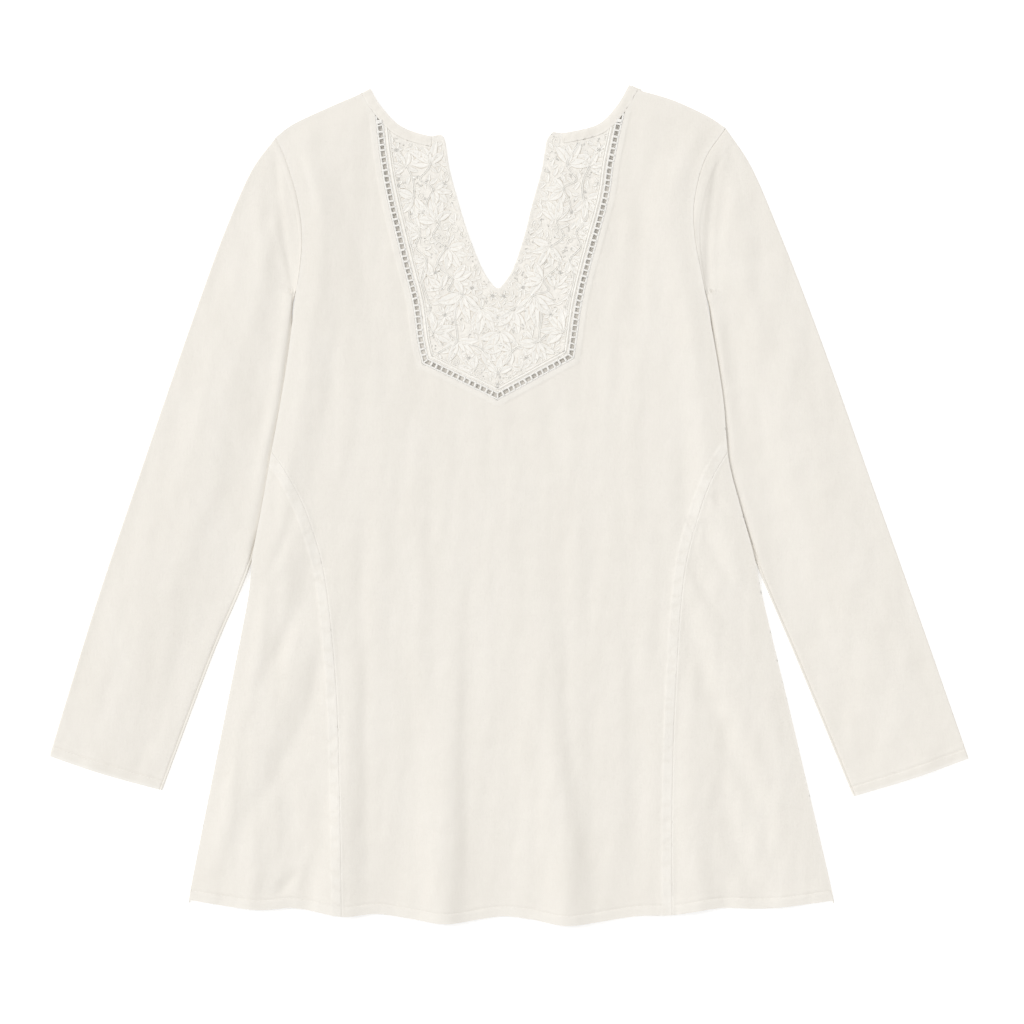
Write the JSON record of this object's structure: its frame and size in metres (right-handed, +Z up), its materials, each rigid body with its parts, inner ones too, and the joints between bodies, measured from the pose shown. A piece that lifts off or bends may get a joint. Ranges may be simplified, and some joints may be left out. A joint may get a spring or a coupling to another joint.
{
  "type": "tunic top",
  "caption": "Long-sleeved split-neck tunic top laid flat, front up, with an embroidered yoke framed by openwork trim, curved side panels and a flared hem.",
  "frame": {"origin": "on the surface that the garment lies on, under the middle of its outline", "axes": "+Z up from that surface, out of the front of the garment; +X across the garment from cuff to cuff, towards the right of the picture; +Y from the hem towards the neck"},
  "size_m": [0.8464, 0.7726, 0.0135],
  "materials": {
    "cotton": "washed matt ivory plain weave",
    "embroidered_lace": "raised ivory embroidery on a fine sheer ground",
    "openwork_trim": "white thread ladder with open holes",
    "binding": "folded matt ivory binding"
  },
  "bodies": {
    "root": {"back_panel": "cotton", "front_panel": "cotton", "side_panel_left": "cotton", "side_panel_right": "cotton", "sleeve_left": "cotton", "sleeve_right": "cotton", "yoke": "embroidered_lace", "ladder_trim": "openwork_trim", "neck_binding_left": "binding", "neck_binding_right": "binding", "back_neck_binding": "binding"}
  },
  "joints": []
}
